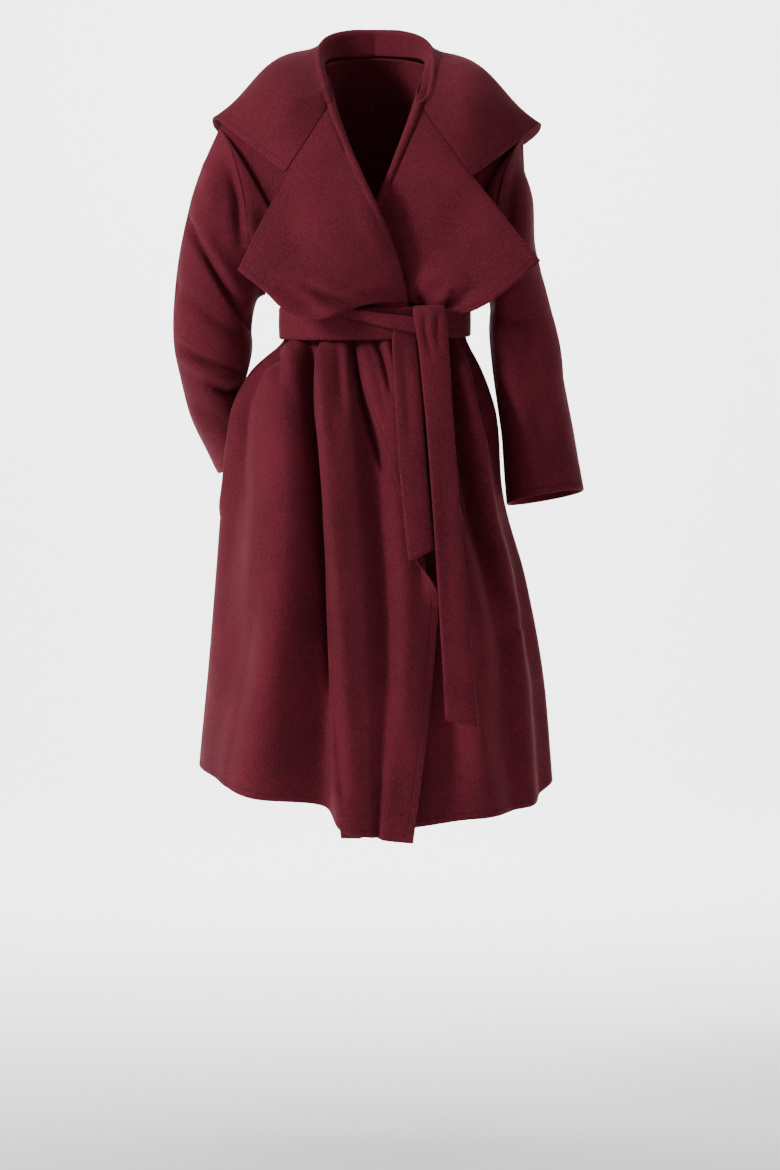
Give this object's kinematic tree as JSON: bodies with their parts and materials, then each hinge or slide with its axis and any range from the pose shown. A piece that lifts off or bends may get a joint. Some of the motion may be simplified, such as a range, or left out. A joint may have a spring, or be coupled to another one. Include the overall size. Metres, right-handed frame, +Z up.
{
  "type": "wrap coat",
  "caption": "Long wrap coat of thick wool with a wide cape collar, broad turned-back lapels, full sleeves and a tied belt whose ends hang down.",
  "frame": {"origin": "the middle of the wearer's neck, level with the top of the shoulders, where the coat hangs", "axes": "+X to the wearer's left, +Y to the wearer's back, +Z up; the front faces -Y"},
  "size_m": [0.6132, 0.4386, 1.1853],
  "materials": {
    "wool": "matt double-faced wool with a short nap"
  },
  "bodies": {
    "root": {"back": "wool", "front_right": "wool", "front_left": "wool", "collar": "wool", "sleeve_right": "wool", "sleeve_left": "wool", "belt": "wool", "belt_strand": "wool", "belt_tail_long": "wool", "belt_tail_short": "wool"}
  },
  "joints": []
}
